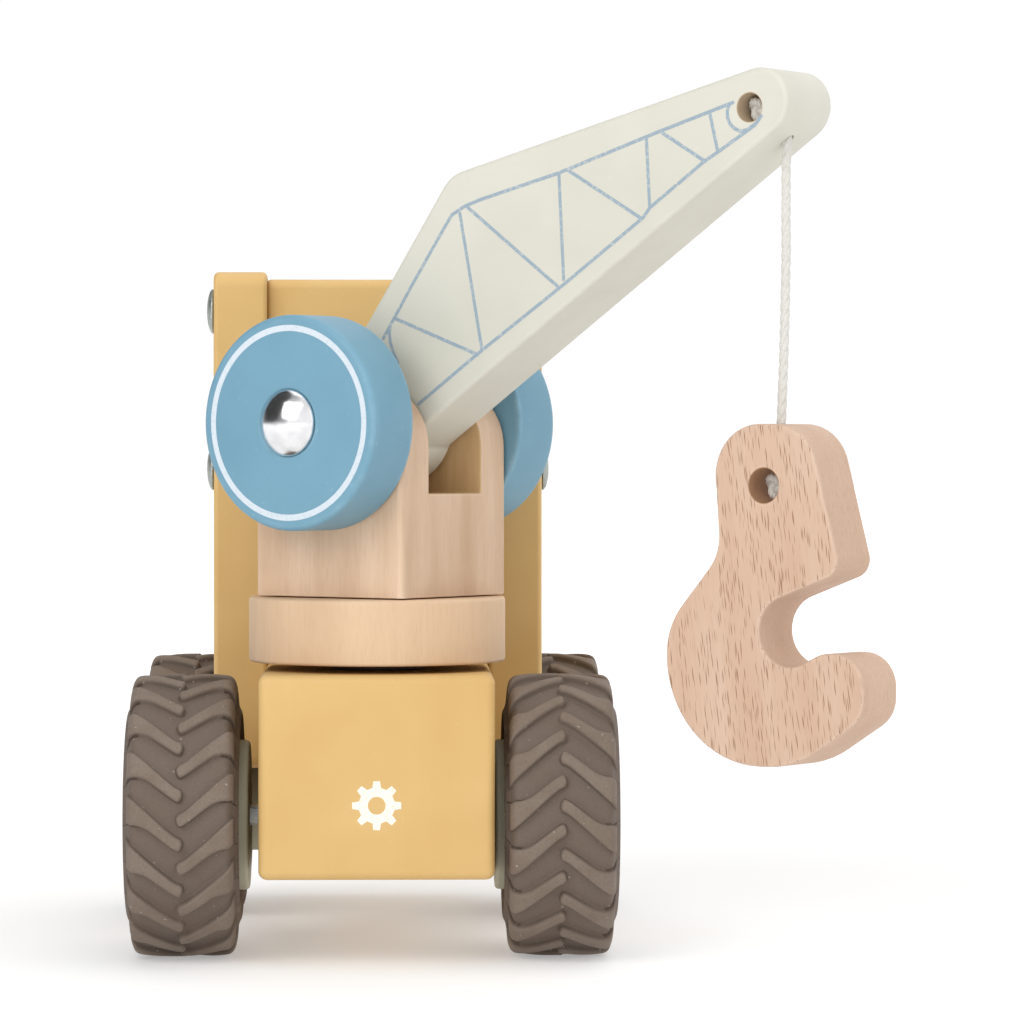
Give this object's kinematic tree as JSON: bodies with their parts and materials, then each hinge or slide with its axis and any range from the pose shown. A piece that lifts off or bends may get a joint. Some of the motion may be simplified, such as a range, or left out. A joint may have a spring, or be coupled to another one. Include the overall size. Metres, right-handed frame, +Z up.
{
  "type": "toy crane truck",
  "caption": "Wooden toy crane truck on tractor tyres: cab, turning turret, jib lifted by two hand wheels, and a wooden hook on a cord.",
  "frame": {"origin": "on the surface the wheels stand on, under the middle of the whole toy's box at rest", "axes": "+Z up, +Y forwards along the truck from its rear end to its cab, +X to the truck's right"},
  "size_m": [0.1838, 0.2447, 0.2149],
  "materials": {
    "yellow_paint": "satin mustard paint on wood",
    "turntable_wood": "bare sanded wood",
    "turret_wood": "bare sanded beech",
    "beech": "bare sanded beech",
    "cream_paint": "satin cream paint on wood with a printed grey-blue lattice",
    "blue_paint": "satin blue paint on wood with a painted white ring",
    "tyre_rubber": "matt brown moulded rubber, with tractor tread on the tyres",
    "hub_green": "matt grey-green",
    "chrome": "polished domed push-on cap",
    "steel": "plain steel",
    "cord": "white twisted cotton cord"
  },
  "bodies": {
    "truck": {"chassis_block": "yellow_paint", "cab_rear_wall": "yellow_paint", "cab_roof": "yellow_paint", "cab_bonnet": "yellow_paint", "cab_side_left": "yellow_paint", "cab_side_right": "yellow_paint", "cab_screw_left_upper": "steel", "cab_screw_left_lower": "steel", "cab_screw_left_front": "steel", "cab_screw_right_upper": "steel", "cab_screw_right_lower": "steel", "cab_screw_right_front": "steel", "slew_bolt": "steel", "slew_washer": "tyre_rubber"},
    "rear_wheels": {"rear_axle": "steel", "rear_hub_left": "hub_green", "rear_hub_right": "hub_green", "rear_tyre_left": "tyre_rubber", "rear_tyre_right": "tyre_rubber", "rear_cap_left": "chrome", "rear_cap_right": "chrome"},
    "front_wheels": {"front_axle": "steel", "front_hub_left": "hub_green", "front_hub_right": "hub_green", "front_tyre_left": "tyre_rubber", "front_tyre_right": "tyre_rubber", "front_cap_left": "chrome", "front_cap_right": "chrome"},
    "turret": {"turntable_disc": "turntable_wood", "turret_block": "turret_wood"},
    "jib": {"jib": "cream_paint", "luff_axle": "steel", "hand_wheel_left": "blue_paint", "hand_wheel_right": "blue_paint", "hand_wheel_cap_left": "chrome", "hand_wheel_cap_right": "chrome", "jib_knot": "cord", "cord_in_jib": "cord"},
    "cord_bend": {"cord_bend": "cord"},
    "cord_upper": {"cord_upper": "cord"},
    "cord": {"hoist_cord": "cord"},
    "hook": {"hook": "beech", "hook_knot": "cord", "cord_in_hook": "cord"}
  },
  "joints": [
    {"name": "rear_axle_spin", "type": "hinge", "parent": "truck", "child": "rear_wheels", "pos_m": [-0.0306, -0.0357, 0.035], "axis": [1, 0, 0], "continuous": true},
    {"name": "front_axle_spin", "type": "hinge", "parent": "truck", "child": "front_wheels", "pos_m": [-0.0306, 0.0756, 0.035], "axis": [1, 0, 0], "continuous": true},
    {"name": "turret_turn", "type": "hinge", "parent": "truck", "child": "turret", "pos_m": [-0.0294, -0.0302, 0.0892], "axis": [0, 0, 1], "range_deg": [-150, 60]},
    {"name": "jib_lift", "type": "hinge", "parent": "turret", "child": "jib", "pos_m": [-0.02823, -0.03107, 0.1323], "axis": [-0.5934, -0.8049, 0], "range_deg": [-22, 35]},
    {"name": "cord_level", "type": "hinge", "parent": "jib", "child": "cord_bend", "pos_m": [0.06727, -0.10147, 0.1974], "axis": [-0.5934, -0.8049, 0], "range_deg": [-35, 22]},
    {"name": "cord_swing", "type": "hinge", "parent": "cord_bend", "child": "cord_upper", "pos_m": [0.06704, -0.1013, 0.19], "axis": [-0.5934, -0.8049, 0], "range_deg": [-20, 25]},
    {"name": "cord_sway", "type": "hinge", "parent": "cord_upper", "child": "cord", "pos_m": [0.06699, -0.10126, 0.1845], "axis": [0.8049, -0.5934, 0], "range_deg": [-20, 20]},
    {"name": "hook_turn", "type": "hinge", "parent": "cord", "child": "hook", "pos_m": [0.06574, -0.10034, 0.1318], "axis": [0, 0, 1], "range_deg": [-180, 180]}
  ],
  "couplings": [
    {"joint": "cord_level", "follows": "jib_lift", "ratio": -1}
  ]
}
